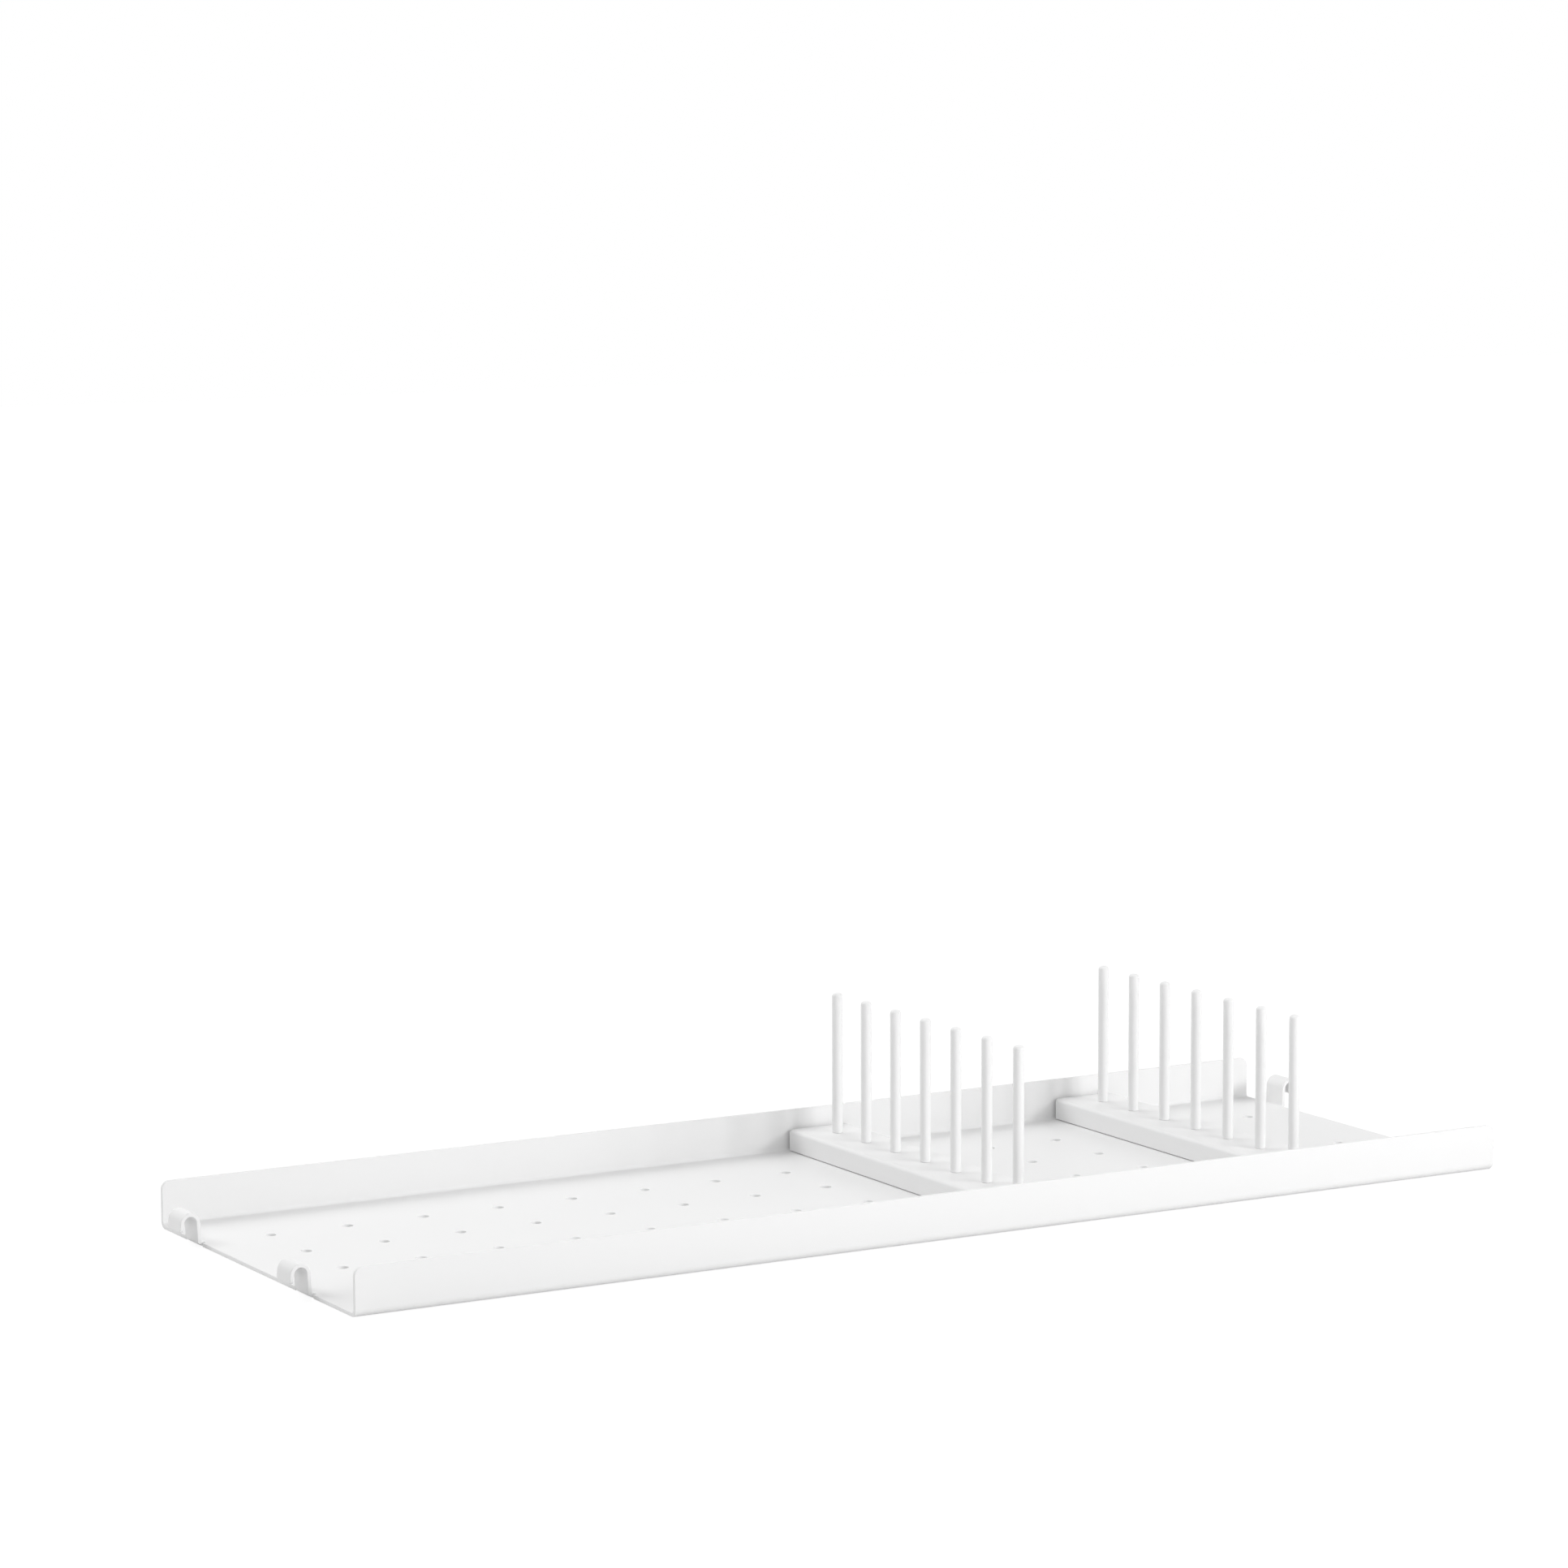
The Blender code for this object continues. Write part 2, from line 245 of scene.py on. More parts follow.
def punching_tree():
    """Geometry Nodes that punch a grid of round holes through a sheet."""
    tree = bpy.data.node_groups.new("punching", "GeometryNodeTree")
    tree_socket(tree, "Sheet", "NodeSocketGeometry")
    tree_socket(tree, "Columns", "NodeSocketInt", 1)
    tree_socket(tree, "Rows", "NodeSocketInt", 1)
    tree_socket(tree, "Pitch", "NodeSocketFloat", HOLE_PITCH)
    tree_socket(tree, "Hole Diameter", "NodeSocketFloat", HOLE_DIAMETER)
    tree_socket(tree, "Hole Sides", "NodeSocketInt", HOLE_SIDES)
    tree_socket(tree, "Punch Length", "NodeSocketFloat", PUNCH_REACH * TRAY_SHEET)
    tree_socket(tree, "Middle", "NodeSocketVector", (0.0, 0.0, 0.0))
    tree_socket(tree, "Finish", "NodeSocketMaterial")
    tree.interface.new_socket("Sheet", in_out="OUTPUT", socket_type="NodeSocketGeometry")
    nodes = tree.nodes
    link = tree.links.new
    given = nodes.new("NodeGroupInput")
    grid = nodes.new("GeometryNodeMeshGrid")
    for count, size in (("Columns", "Size X"), ("Rows", "Size Y")):
        gaps = nodes.new("ShaderNodeMath")
        gaps.operation = "SUBTRACT"
        gaps.inputs[1].default_value = 1
        span = nodes.new("ShaderNodeMath")
        span.operation = "MULTIPLY"
        link(given.outputs[count], gaps.inputs[0])
        link(gaps.outputs[0], span.inputs[0])
        link(given.outputs["Pitch"], span.inputs[1])
        link(span.outputs[0], grid.inputs[size])
    link(given.outputs["Columns"], grid.inputs["Vertices X"])
    link(given.outputs["Rows"], grid.inputs["Vertices Y"])
    radius = nodes.new("ShaderNodeMath")
    radius.operation = "DIVIDE"
    radius.inputs[1].default_value = 2
    link(given.outputs["Hole Diameter"], radius.inputs[0])
    pin = nodes.new("GeometryNodeMeshCylinder")
    link(given.outputs["Hole Sides"], pin.inputs["Vertices"])
    link(radius.outputs[0], pin.inputs["Radius"])
    link(given.outputs["Punch Length"], pin.inputs["Depth"])
    pins = nodes.new("GeometryNodeInstanceOnPoints")
    link(grid.outputs["Mesh"], pins.inputs["Points"])
    link(pin.outputs["Mesh"], pins.inputs["Instance"])
    placed = nodes.new("GeometryNodeTransform")
    link(pins.outputs["Instances"], placed.inputs["Geometry"])
    link(given.outputs["Middle"], placed.inputs["Translation"])
    tool = nodes.new("GeometryNodeRealizeInstances")
    link(placed.outputs["Geometry"], tool.inputs["Geometry"])
    cut = nodes.new("GeometryNodeMeshBoolean")
    cut.operation = "DIFFERENCE"
    cut.solver = "EXACT"
    link(given.outputs["Sheet"], cut.inputs["Mesh 1"])
    link(tool.outputs["Geometry"], cut.inputs["Mesh 2"])
    whole = nodes.new("GeometryNodeRealizeInstances")
    link(cut.outputs["Mesh"], whole.inputs["Geometry"])
    coat = nodes.new("GeometryNodeSetMaterial")
    link(whole.outputs["Geometry"], coat.inputs["Geometry"])
    link(given.outputs["Finish"], coat.inputs["Material"])
    result = nodes.new("NodeGroupOutput")
    link(coat.outputs["Geometry"], result.inputs["Sheet"])
    return tree


def worked(tree, mesh, name, values):
    """A plain mesh from another mesh and a tree, whose inputs are set by name."""
    blank = bpy.data.objects.new(name + "_blank", mesh)
    bpy.context.scene.collection.objects.link(blank)
    maker = blank.modifiers.new("maker", "NODES")
    maker.node_group = tree
    for item in tree.interface.items_tree:
        if item.in_out == "INPUT" and item.name in values:
            maker[item.identifier] = values[item.name]
    bpy.context.view_layer.update()
    ready = blank.evaluated_get(bpy.context.evaluated_depsgraph_get())
    made = bpy.data.meshes.new_from_object(ready)
    made.name = name
    bpy.data.objects.remove(blank)
    return made


def piece_from(mesh, name):
    mesh.shade_smooth()
    piece = bpy.data.objects.new(name, mesh)
    bpy.context.scene.collection.objects.link(piece)
    return piece


def soften_edges(piece, width, inner_width=0.0, inner_reach=(0.0, 0.0)):
    """Round the cut edges of a sheet, those within inner_reach of its middle by inner_width."""
    bm = bmesh.new()
    bm.from_mesh(piece.data)
    weight = bm.edges.layers.float.new("bevel_weight_edge")
    for edge in bm.edges:
        if edge.calc_face_angle(0.0) > SHARP_EDGE:
            middle = (edge.verts[0].co + edge.verts[1].co) / 2
            inner = abs(middle.x) < inner_reach[0] and abs(middle.y) < inner_reach[1]
            edge[weight] = inner_width / width if inner else 1.0
    bm.to_mesh(piece.data)
    bm.free()
    rounding = piece.modifiers.new("cut_edges", "BEVEL")
    rounding.width = width
    rounding.segments = EDGE_LINES
    rounding.limit_method = "WEIGHT"
    rounding.harden_normals = True


def coat_texture():
    """Shader group: the fine peel, grain and slow drift of tone that powder coat has."""
    group = bpy.data.node_groups.new("coat_texture", "ShaderNodeTree")
    tree_socket(group, "Colour", "NodeSocketColor", (*COAT_WHITE, 1.0))
    tree_socket(group, "Drift", "NodeSocketFloat", COAT_DRIFT)
    tree_socket(group, "Peel Scale", "NodeSocketFloat", TRAY_PEEL)
    tree_socket(group, "Roughness", "NodeSocketFloat", TRAY_DULLNESS)
    group.interface.new_socket("Colour", in_out="OUTPUT", socket_type="NodeSocketColor")
    group.interface.new_socket("Roughness", in_out="OUTPUT", socket_type="NodeSocketFloat")
    group.interface.new_socket("Height", in_out="OUTPUT", socket_type="NodeSocketFloat")
    nodes = group.nodes
    link = group.links.new
    given = nodes.new("NodeGroupInput")
    place = nodes.new("ShaderNodeTexCoord")

    def feed(socket, value):
        """Give a socket a plain number, or the output of another node."""
        if isinstance(value, (int, float)):
            socket.default_value = value
        else:
            link(value, socket)

    def noise(scale, detail):
        texture = nodes.new("ShaderNodeTexNoise")
        feed(texture.inputs["Scale"], scale)
        texture.inputs["Detail"].default_value = detail
        link(place.outputs["Object"], texture.inputs["Vector"])
        return texture

    def math_node(operation, first, second):
        node = nodes.new("ShaderNodeMath")
        node.operation = operation
        feed(node.inputs[0], first)
        feed(node.inputs[1], second)
        return node.outputs[0]

    slow = noise(DRIFT_SCALE, 2.0)
    peel = noise(given.outputs["Peel Scale"], 1.0)
    grain = noise(math_node("MULTIPLY", given.outputs["Peel Scale"], GRAIN_FINENESS), 2.0)
    tone = math_node("ADD", math_node("MULTIPLY", slow.outputs["Fac"], DRIFT_SHARE),
                     math_node("MULTIPLY", grain.outputs["Fac"], 1 - DRIFT_SHARE))
    darker = math_node("MULTIPLY", tone, given.outputs["Drift"])
    shade = math_node("SUBTRACT", 1.0, darker)
    tinted = nodes.new("ShaderNodeVectorMath")
    tinted.operation = "SCALE"
    link(given.outputs["Colour"], tinted.inputs[0])
    link(shade, tinted.inputs["Scale"])
    from_middle = math_node("SUBTRACT", grain.outputs["Fac"], NOISE_MIDDLE)
    swing = math_node("MULTIPLY", from_middle, GRAIN_DULLNESS)
    dullness = math_node("ADD", given.outputs["Roughness"], swing)
    height = math_node("ADD", math_node("MULTIPLY", peel.outputs["Fac"], PEEL_SHARE),
                       math_node("MULTIPLY", grain.outputs["Fac"], 1 - PEEL_SHARE))
    result = nodes.new("NodeGroupOutput")
    link(tinted.outputs[0], result.inputs["Colour"])
    link(dullness, result.inputs["Roughness"])
    link(height, result.inputs["Height"])
    return group


COAT_TEXTURE = coat_texture()


def powder_coat(name, peel_scale, roughness, relief):
    """White powder coat: relief is the height of its peel in metres."""
    coat = bpy.data.materials.new(name)
    coat.use_nodes = True
    nodes = coat.node_tree.nodes
    link = coat.node_tree.links.new
    shader = nodes["Principled BSDF"]
    shader.inputs["Specular IOR Level"].default_value = COAT_SHEEN
    texture = nodes.new("ShaderNodeGroup")
    texture.node_tree = COAT_TEXTURE
    texture.inputs["Colour"].default_value = (*COAT_WHITE, 1.0)
    texture.inputs["Drift"].default_value = COAT_DRIFT
    texture.inputs["Peel Scale"].default_value = peel_scale
    texture.inputs["Roughness"].default_value = roughness
    bump = nodes.new("ShaderNodeBump")
    bump.inputs["Strength"].default_value = PEEL_STRENGTH
    bump.inputs["Distance"].default_value = relief
    link(texture.outputs["Colour"], shader.inputs["Base Color"])
    link(texture.outputs["Roughness"], shader.inputs["Roughness"])
    link(texture.outputs["Height"], bump.inputs["Height"])
    link(bump.outputs["Normal"], shader.inputs["Normal"])
    return coat


tray_coat = powder_coat("tray_coat", TRAY_PEEL, TRAY_DULLNESS, TRAY_RELIEF)
PUNCHING = punching_tree()
tray_mesh = worked(PUNCHING, plain_mesh(folded_tray(), "tray_blank"), "tray_sheet", {
    "Columns": HOLE_COLUMNS,
    "Rows": HOLE_ROWS,
    "Pitch": HOLE_PITCH,
    "Hole Diameter": HOLE_DIAMETER,
    "Punch Length": PUNCH_REACH * TRAY_SHEET,
    "Middle": HOLE_FIELD_MIDDLE,
    "Finish": tray_coat,
})
tray = piece_from(tray_mesh, "tray_sheet")
soften_edges(tray, TRAY_EDGE, HOLE_RIM, (END_X - HOLE_PITCH / 2, TRAY_DEPTH / 2 - HOLE_PITCH / 2))
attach(tray, "tray")
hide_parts("shelf_tray")

# Rack bars
# Two channels folded from steel strip, laid across the tray with their open side down.
# They lie loose on its floor between the two folds, and each top is drilled for its pegs' screws.

BAR_WIDTH = 31.6 * MM
BAR_SHEET = 1.2 * MM
BAR_BEND = 0.6 * MM
BAR_EDGE = 0.25 * MM
PEG_COUNT = 7
PEG_PITCH = 26.2833 * MM
SCREW_HOLE_DIAMETER = 3.6 * MM
BAR_PEEL = 750.0
BAR_DULLNESS = 0.42
BAR_RELIEF = 0.03 * MM
RACKS = ("left_rack", "right_rack")


def bar_strip(low, high):
    """A channel that fills the box from low to high, folded down from a flat strip."""
    middle_x = (low.x + high.x) / 2
    flat = BAR_WIDTH / 2 - BAR_SHEET - BAR_BEND
    left = middle_x - flat
    right = middle_x + flat
    strip = [(left, low.y), (right, low.y), (right, high.y), (left, high.y)]
    bm = cut_sheet(strip, high.z - BAR_SHEET, BAR_SHEET)
    fold_height = high.z - BAR_SHEET - BAR_BEND
    for side, x in ((-1, left), (1, right)):
        wall = sheet_edge(bm, (x, 0, high.z - BAR_SHEET / 2))
        wall = run_round(bm, wall, (x, 0, fold_height), "Y", side * 90)
        run_straight(bm, wall, (0, 0, low.z - fold_height))
    return bm


bar_coat = powder_coat("bar_coat", BAR_PEEL, BAR_DULLNESS, BAR_RELIEF)
bar_tops = {}
for rack in RACKS:
    low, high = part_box(rack + "_bar")
    bar_tops[rack] = Vector(((low.x + high.x) / 2, 0, high.z))
    bar_mesh = worked(PUNCHING, plain_mesh(bar_strip(low, high), rack + "_strip"), rack + "_channel", {
        "Columns": 1,
        "Rows": PEG_COUNT,
        "Pitch": PEG_PITCH,
        "Hole Diameter": SCREW_HOLE_DIAMETER,
        "Punch Length": PUNCH_REACH * BAR_SHEET,
        "Middle": bar_tops[rack],
        "Finish": bar_coat,
    })
    bar = piece_from(bar_mesh, rack + "_channel")
    soften_edges(bar, BAR_EDGE)
    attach(bar, rack)
    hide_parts(rack + "_bar")

# Pegs
# Turned steel rods with domed tips, coated like the bars.
# Each stands on its bar's top and is pulled down by a screw in its blind hole.

PEG_DIAMETER = 5.0 * MM
PEG_RISE = 66.2 * MM
PEG_TIP_ROUND = 1.6 * MM
PEG_FOOT_CHAMFER = 0.25 * MM
PEG_HOLE_DEPTH = 10.0 * MM
DRILL_POINT = 0.5               # rise of the drill's cone in radii of the hole
PEG_SIDES = 40
PEG_TIP_LINES = 12
PEG_PEEL = 900.0
PEG_DULLNESS = 0.38
PEG_RELIEF = 0.02 * MM
SAME_POINT = 0.001 * MM
CRISP_RIM = math.radians(35)


def turned(profile, sides):
    """A solid turned about Z from its (radius, height) profile, whose ends lie on the axis."""
    bm = bmesh.new()
    points = [bm.verts.new((radius, 0, height)) for radius, height in profile]
    line = [bm.edges.new(pair) for pair in zip(points, points[1:])]
    bmesh.ops.spin(bm, geom=points + line, cent=(0, 0, 0), axis=(0, 0, 1), angle=math.tau,
                   steps=sides, use_merge=True)
    bmesh.ops.remove_doubles(bm, verts=bm.verts, dist=SAME_POINT)
    return bm


def arc(radius, centre_radius, centre_height, start, stop, steps):
    """Points of a round in a turned profile, from one angle to another in degrees."""
    points = []
    for step in range(steps + 1):
        angle = math.radians(start + (stop - start) * step / steps)
        points.append((centre_radius + radius * math.cos(angle), centre_height + radius * math.sin(angle)))
    return points


def turned_peg():
    side = PEG_DIAMETER / 2
    hole = SCREW_HOLE_DIAMETER / 2
    profile = [(0, PEG_HOLE_DEPTH + DRILL_POINT * hole), (hole, PEG_HOLE_DEPTH), (hole, 0),
               (side - PEG_FOOT_CHAMFER, 0), (side, PEG_FOOT_CHAMFER)]
    profile += arc(PEG_TIP_ROUND, side - PEG_TIP_ROUND, PEG_RISE - PEG_TIP_ROUND, 0, 90, PEG_TIP_LINES)
    profile.append((0, PEG_RISE))
    return turned(profile, PEG_SIDES)


def row_tree():
    """Geometry Nodes that set out a row of like pieces along Y."""
    tree = bpy.data.node_groups.new("row_of_pieces", "GeometryNodeTree")
    tree_socket(tree, "Piece", "NodeSocketGeometry")
    tree_socket(tree, "Count", "NodeSocketInt", 1)
    tree_socket(tree, "Pitch", "NodeSocketFloat", PEG_PITCH)
    tree_socket(tree, "First Place", "NodeSocketVector", (0.0, 0.0, 0.0))
    tree_socket(tree, "Finish", "NodeSocketMaterial")
    tree.interface.new_socket("Row", in_out="OUTPUT", socket_type="NodeSocketGeometry")
    nodes = tree.nodes
    link = tree.links.new
    given = nodes.new("NodeGroupInput")
    step = nodes.new("ShaderNodeCombineXYZ")
    link(given.outputs["Pitch"], step.inputs["Y"])
    places = nodes.new("GeometryNodeMeshLine")
    places.mode = "OFFSET"
    link(given.outputs["Count"], places.inputs["Count"])
    link(given.outputs["First Place"], places.inputs["Start Location"])
    link(step.outputs[0], places.inputs["Offset"])
    row = nodes.new("GeometryNodeInstanceOnPoints")
    link(places.outputs["Mesh"], row.inputs["Points"])
    link(given.outputs["Piece"], row.inputs["Instance"])
    whole = nodes.new("GeometryNodeRealizeInstances")
    link(row.outputs["Instances"], whole.inputs["Geometry"])
    coat = nodes.new("GeometryNodeSetMaterial")
    link(whole.outputs["Geometry"], coat.inputs["Geometry"])
    link(given.outputs["Finish"], coat.inputs["Material"])
    result = nodes.new("NodeGroupOutput")
    link(coat.outputs["Geometry"], result.inputs["Row"])
    return tree


def sharp_rims(piece):
    """Keep turned shoulders crisp, and the rest smooth."""
    piece.data.set_sharp_from_angle(angle=CRISP_RIM)


peg_coat = powder_coat("peg_coat", PEG_PEEL, PEG_DULLNESS, PEG_RELIEF)
ROW = row_tree()
FIRST_PEG_Y = -PEG_PITCH * (PEG_COUNT - 1) / 2
for rack in RACKS:
    foot = bar_tops[rack] + Vector((0, FIRST_PEG_Y, 0))
    row_mesh = worked(ROW, plain_mesh(turned_peg(), rack + "_peg"), rack + "_pegs", {
        "Count": PEG_COUNT,
        "Pitch": PEG_PITCH,
        "First Place": foot,
        "Finish": peg_coat,
    })
    pegs = piece_from(row_mesh, rack + "_pegs")
    sharp_rims(pegs)
    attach(pegs, rack)
    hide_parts(*[f"{rack}_peg_{number}" for number in range(1, PEG_COUNT + 1)])

# Peg screws
# Button-head screws of bare turned steel, driven up through the bar's top into the pegs.
# Each head has a hexagon socket for its key.

SCREW_DIAMETER = 3.0 * MM
SCREW_LENGTH = 9.8 * MM
SCREW_POINT = 0.4 * MM          # chamfer at the shank's end
SCREW_HEAD_DIAMETER = 5.6 * MM
SCREW_HEAD_HEIGHT = 2.0 * MM
SCREW_HEAD_ROUND = 1.3 * MM
SCREW_SOCKET_FLATS = 2.0 * MM
SCREW_SOCKET_DEPTH = 1.1 * MM
SCREW_SOCKET_SIDES = 6
SCREW_SIDES = 30
SCREW_HEAD_LINES = 8
STEEL_LIGHT = (0.66, 0.66, 0.64)
STEEL_DARK = (0.52, 0.52, 0.51)
STEEL_SMOOTH = 0.24             # roughness of the brightest places
STEEL_DULL = 0.48               # and of the dullest
PATCH_SCALE = 420.0             # dull patches in a metre
RING_SCALE = 900.0
RING_WAVER = 1.5
RING_STRENGTH = 0.4
RING_RELIEF = 0.01 * MM
NO_REPEAT = 1.0                 # metres, past any height of the object


def turned_screw():
    """A screw with its head's seat at height 0 and its shank upwards."""
    head = SCREW_HEAD_DIAMETER / 2
    shank = SCREW_DIAMETER / 2
    profile = [(0, SCREW_LENGTH), (shank - SCREW_POINT, SCREW_LENGTH), (shank, SCREW_LENGTH - SCREW_POINT),
               (shank, 0), (head, 0)]
    profile += arc(SCREW_HEAD_ROUND, head - SCREW_HEAD_ROUND, SCREW_HEAD_ROUND - SCREW_HEAD_HEIGHT, 0, -90,
                   SCREW_HEAD_LINES)
    profile.append((0, -SCREW_HEAD_HEIGHT))
    return turned(profile, SCREW_SIDES)


def turned_steel(name, first_axis, spacing):
    """Bare steel with fine turning rings about each screw's own axis and a few duller patches."""
    metal = bpy.data.materials.new(name)
    metal.use_nodes = True
    nodes = metal.node_tree.nodes
    link = metal.node_tree.links.new
    shader = nodes["Principled BSDF"]
    shader.inputs["Metallic"].default_value = 1.0
    place = nodes.new("ShaderNodeTexCoord")
    from_first = nodes.new("ShaderNodeVectorMath")
    from_first.operation = "SUBTRACT"
    from_first.inputs[1].default_value = first_axis
    link(place.outputs["Object"], from_first.inputs[0])
    from_axis = nodes.new("ShaderNodeVectorMath")
    from_axis.operation = "WRAP"
    from_axis.inputs[1].default_value = spacing / 2
    from_axis.inputs[2].default_value = -spacing / 2
    link(from_first.outputs[0], from_axis.inputs[0])
    rings = nodes.new("ShaderNodeTexWave")
    rings.wave_type = "RINGS"
    rings.rings_direction = "Z"
    rings.inputs["Scale"].default_value = RING_SCALE
    rings.inputs["Distortion"].default_value = RING_WAVER
    link(from_axis.outputs[0], rings.inputs["Vector"])
    patches = nodes.new("ShaderNodeTexNoise")
    patches.inputs["Scale"].default_value = PATCH_SCALE
    patches.inputs["Detail"].default_value = 3.0
    link(place.outputs["Object"], patches.inputs["Vector"])
    tone = nodes.new("ShaderNodeMix")
    tone.data_type = "RGBA"
    tone.inputs["A"].default_value = (*STEEL_LIGHT, 1.0)
    tone.inputs["B"].default_value = (*STEEL_DARK, 1.0)
    link(patches.outputs["Fac"], tone.inputs["Factor"])
    link(tone.outputs["Result"], shader.inputs["Base Color"])
    dullness = nodes.new("ShaderNodeMapRange")
    dullness.inputs["To Min"].default_value = STEEL_SMOOTH
    dullness.inputs["To Max"].default_value = STEEL_DULL
    link(patches.outputs["Fac"], dullness.inputs["Value"])
    link(dullness.outputs[0], shader.inputs["Roughness"])
    bump = nodes.new("ShaderNodeBump")
    bump.inputs["Strength"].default_value = RING_STRENGTH
    bump.inputs["Distance"].default_value = RING_RELIEF
    link(rings.outputs["Fac"], bump.inputs["Height"])
    link(bump.outputs["Normal"], shader.inputs["Normal"])
    return metal


first_screw = bar_tops["left_rack"] + Vector((0, FIRST_PEG_Y, 0))
rack_spacing = bar_tops["right_rack"].x - bar_tops["left_rack"].x
screw_steel = turned_steel("screw_steel", first_screw, Vector((rack_spacing, PEG_PITCH, NO_REPEAT)))
for rack in RACKS:
    seat = bar_tops[rack] + Vector((0, FIRST_PEG_Y, -BAR_SHEET))
    screw_mesh = worked(PUNCHING, plain_mesh(turned_screw(), rack + "_pin"), rack + "_screw", {
        "Columns": 1,
        "Rows": 1,
        "Hole Diameter": SCREW_SOCKET_FLATS / math.cos(math.pi / SCREW_SOCKET_SIDES),
        "Hole Sides": SCREW_SOCKET_SIDES,
        "Punch Length": 2 * SCREW_SOCKET_DEPTH,
        "Middle": Vector((0, 0, -SCREW_HEAD_HEIGHT)),
        "Finish": screw_steel,
    })
    row_mesh = worked(ROW, screw_mesh, rack + "_screws", {
        "Count": PEG_COUNT,
        "Pitch": PEG_PITCH,
        "First Place": seat,
        "Finish": screw_steel,
    })
    screws = piece_from(row_mesh, rack + "_screws")
    sharp_rims(screws)
    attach(screws, rack)
    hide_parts(*[f"{rack}_screw_{number}" for number in range(1, PEG_COUNT + 1)])

# Studio
# A pale floor under the tray, a white backdrop, a little light from all round, and large soft lamps.

FLOOR_SIZE = 12.0
FLOOR_DROP = 0.2 * MM           # the floor lies this far under the tray
FLOOR_COLOUR = (0.8, 0.8, 0.8, 1.0)
FLOOR_SEEN_COLOUR = (0.2, 0.2, 0.2, 1.0)
FLOOR_DULLNESS = 0.9
FLOOR_GLOW = 0.86               # near the tray, where the lamps add the rest of the white
WHITE_FROM = 0.5                # metres from the tray's middle where the glow starts to rise
WHITE_AT = 1.2                  # and where it is all of the white
WHITE = (1.0, 1.0, 1.0, 1.0)
SURROUND = 0.41
LAMP_DISTANCE = 2.0
GLARE_UNDER = math.radians(25)  # lower lamps aren't mirrored in the coat, which would clip to white
LAMP_TARGET = Vector((0, 0, 20 * MM))
LAMPS = (                       # name, degrees from +X, degrees up, size in metres, watts
    ("front", 285, 20, 0.45, 6.4),
    ("front_right", 300, 18, 0.45, 8.9),
    ("right", 315, 18, 0.45, 6.3),
    ("front_left_top", 225, 36, 0.9, 5.2),
    ("back_left", 135, 36, 0.9, 9.8),
    ("back", 90, 36, 0.9, 2.8),
    ("back_top", 90, 62, 0.9, 8.8),
)


def is_seen(nodes, link):
    """1 for rays that show the background: from the camera, or by way of gloss or glass."""
    path = nodes.new("ShaderNodeLightPath")
    seen = path.outputs["Is Camera Ray"]
    for other in ("Is Glossy Ray", "Is Transmission Ray"):
        either = nodes.new("ShaderNodeMath")
        either.operation = "MAXIMUM"
        link(seen, either.inputs[0])
        link(path.outputs[other], either.inputs[1])
        seen = either.outputs[0]
    return seen


bm = bmesh.new()
bmesh.ops.create_grid(bm, x_segments=1, y_segments=1, size=FLOOR_SIZE / 2)
floor = bpy.data.objects.new("floor", plain_mesh(bm, "floor"))
bpy.context.scene.collection.objects.link(floor)
floor_paint = bpy.data.materials.new("floor_paint")
floor_paint.use_nodes = True
nodes = floor_paint.node_tree.nodes
link = floor_paint.node_tree.links.new
paint = nodes["Principled BSDF"]
paint.inputs["Base Color"].default_value = FLOOR_COLOUR
paint.inputs["Roughness"].default_value = FLOOR_DULLNESS
paint.inputs["Specular IOR Level"].default_value = 0.0
seen_paint = nodes.new("ShaderNodeBsdfDiffuse")
seen_paint.inputs["Color"].default_value = FLOOR_SEEN_COLOUR
place = nodes.new("ShaderNodeTexCoord")
away = nodes.new("ShaderNodeVectorMath")
away.operation = "LENGTH"
link(place.outputs["Object"], away.inputs[0])
whiter = nodes.new("ShaderNodeMapRange")
whiter.inputs["From Min"].default_value = WHITE_FROM
whiter.inputs["From Max"].default_value = WHITE_AT
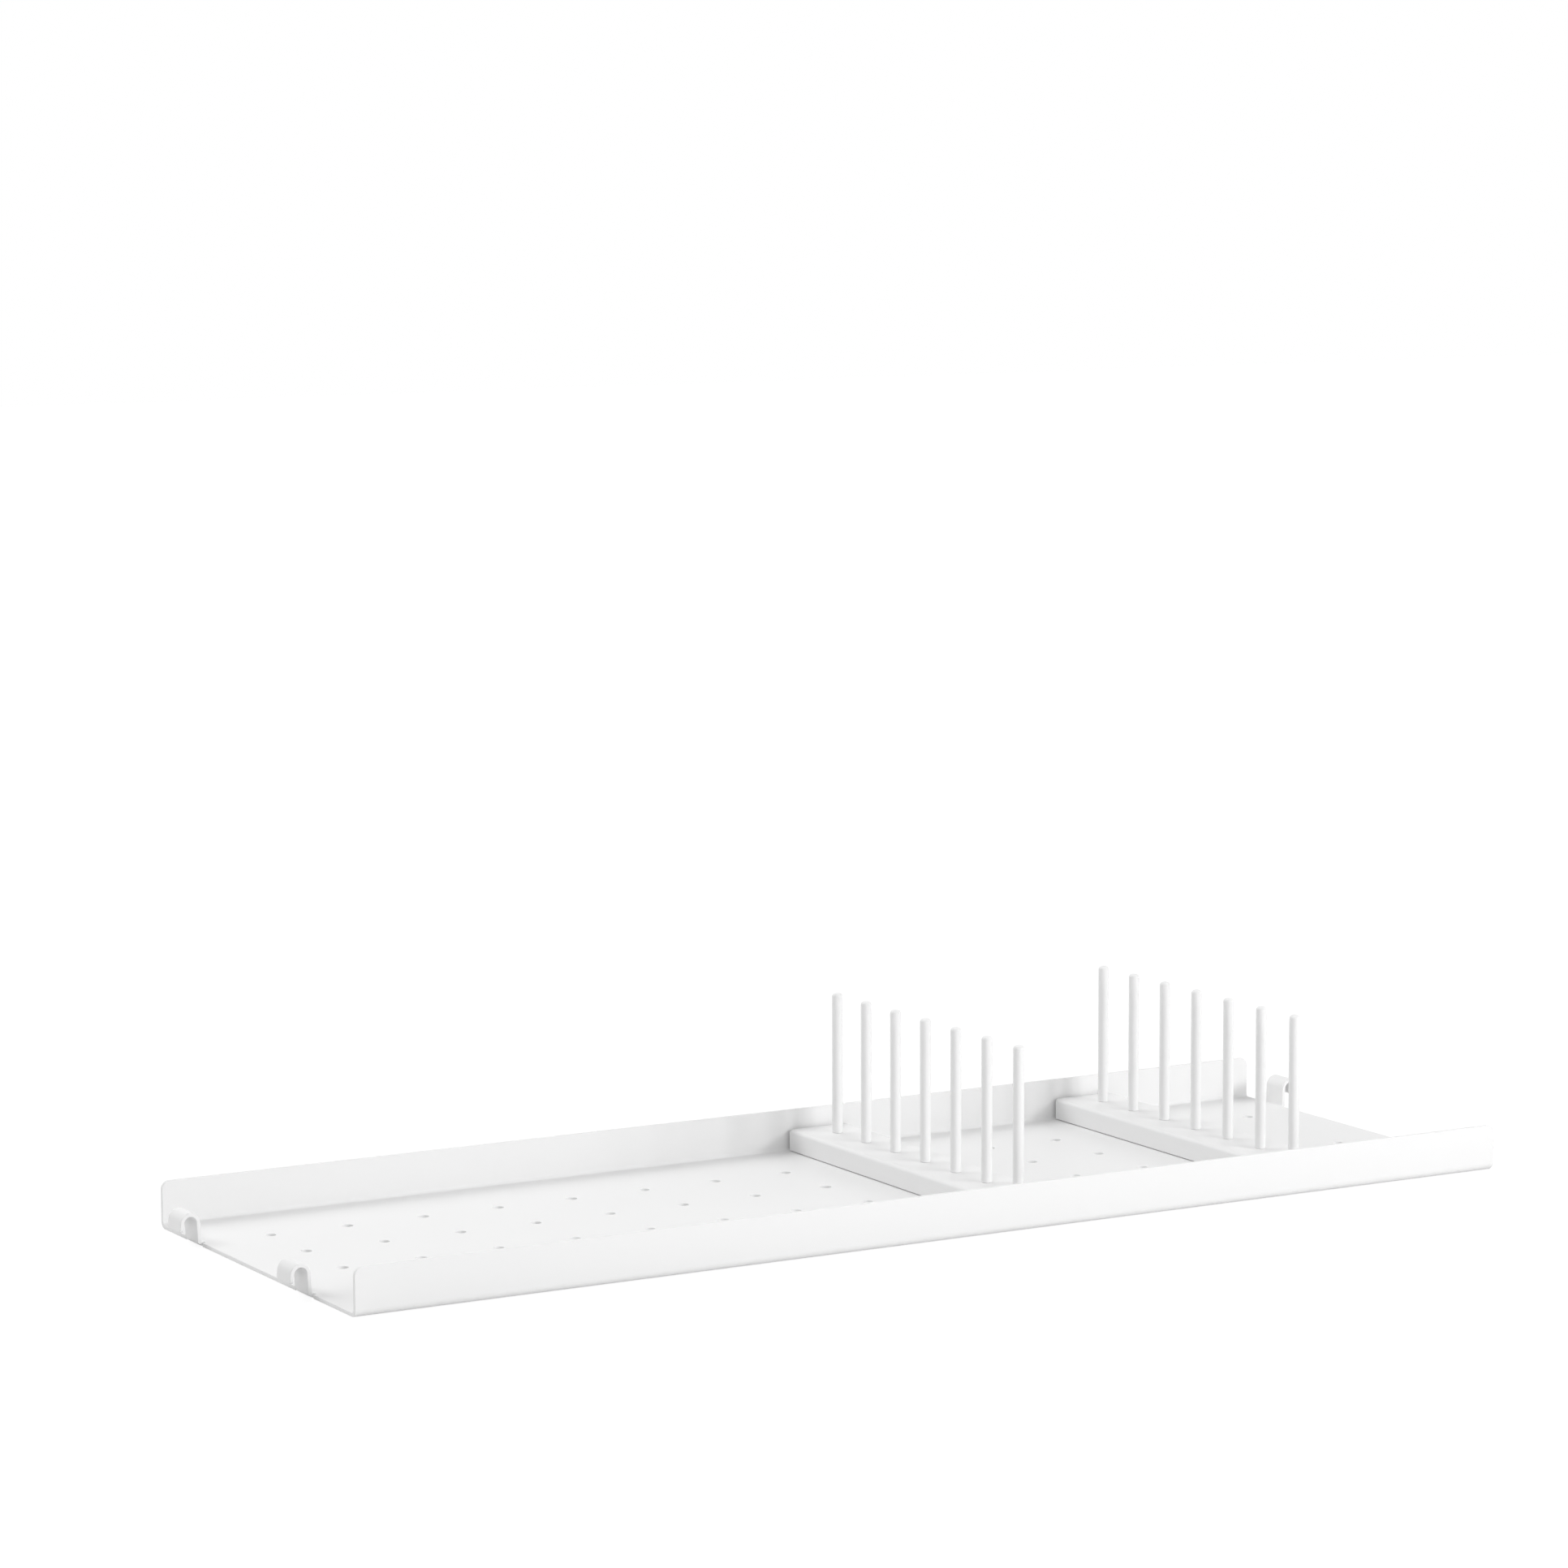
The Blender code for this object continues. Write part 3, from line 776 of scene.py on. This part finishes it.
whiter.inputs["To Min"].default_value = FLOOR_GLOW
whiter.inputs["To Max"].default_value = 1.0
link(away.outputs["Value"], whiter.inputs["Value"])
glow = nodes.new("ShaderNodeEmission")
glow.inputs["Color"].default_value = WHITE
link(whiter.outputs[0], glow.inputs["Strength"])
white = nodes.new("ShaderNodeAddShader")
link(seen_paint.outputs[0], white.inputs[0])
link(glow.outputs[0], white.inputs[1])
choose = nodes.new("ShaderNodeMixShader")
link(is_seen(nodes, link), choose.inputs[0])
link(paint.outputs[0], choose.inputs[1])
link(white.outputs[0], choose.inputs[2])
link(choose.outputs[0], nodes["Material Output"].inputs["Surface"])
floor.data.materials.append(floor_paint)
floor.location.z = -FLOOR_DROP

surround = bpy.data.worlds.new("surround")
bpy.context.scene.world = surround
surround.use_nodes = True
nodes = surround.node_tree.nodes
link = surround.node_tree.links.new
nodes.clear()
even = nodes.new("ShaderNodeBackground")
even.inputs["Strength"].default_value = SURROUND
backdrop = nodes.new("ShaderNodeBackground")
backdrop.inputs["Strength"].default_value = 1.0
for light in (even, backdrop):
    light.inputs["Color"].default_value = WHITE
choose = nodes.new("ShaderNodeMixShader")
link(is_seen(nodes, link), choose.inputs[0])
link(even.outputs[0], choose.inputs[1])
link(backdrop.outputs[0], choose.inputs[2])
result = nodes.new("ShaderNodeOutputWorld")
link(choose.outputs[0], result.inputs["Surface"])

for name, around, up, size, watts in LAMPS:
    around = math.radians(around)
    up = math.radians(up)
    outwards = Vector((math.cos(up) * math.cos(around), math.cos(up) * math.sin(around), math.sin(up)))
    lamp_data = bpy.data.lights.new(name, "AREA")
    lamp_data.shape = "DISK"
    lamp_data.size = size
    lamp_data.energy = watts
    lamp = bpy.data.objects.new(name, lamp_data)
    lamp.location = LAMP_TARGET + outwards * LAMP_DISTANCE
    lamp.visible_glossy = up > GLARE_UNDER
    lamp.rotation_euler = (-outwards).to_track_quat("-Z", "Y").to_euler()
    bpy.context.scene.collection.objects.link(lamp)

bpy.context.scene.view_settings.view_transform = "Standard"
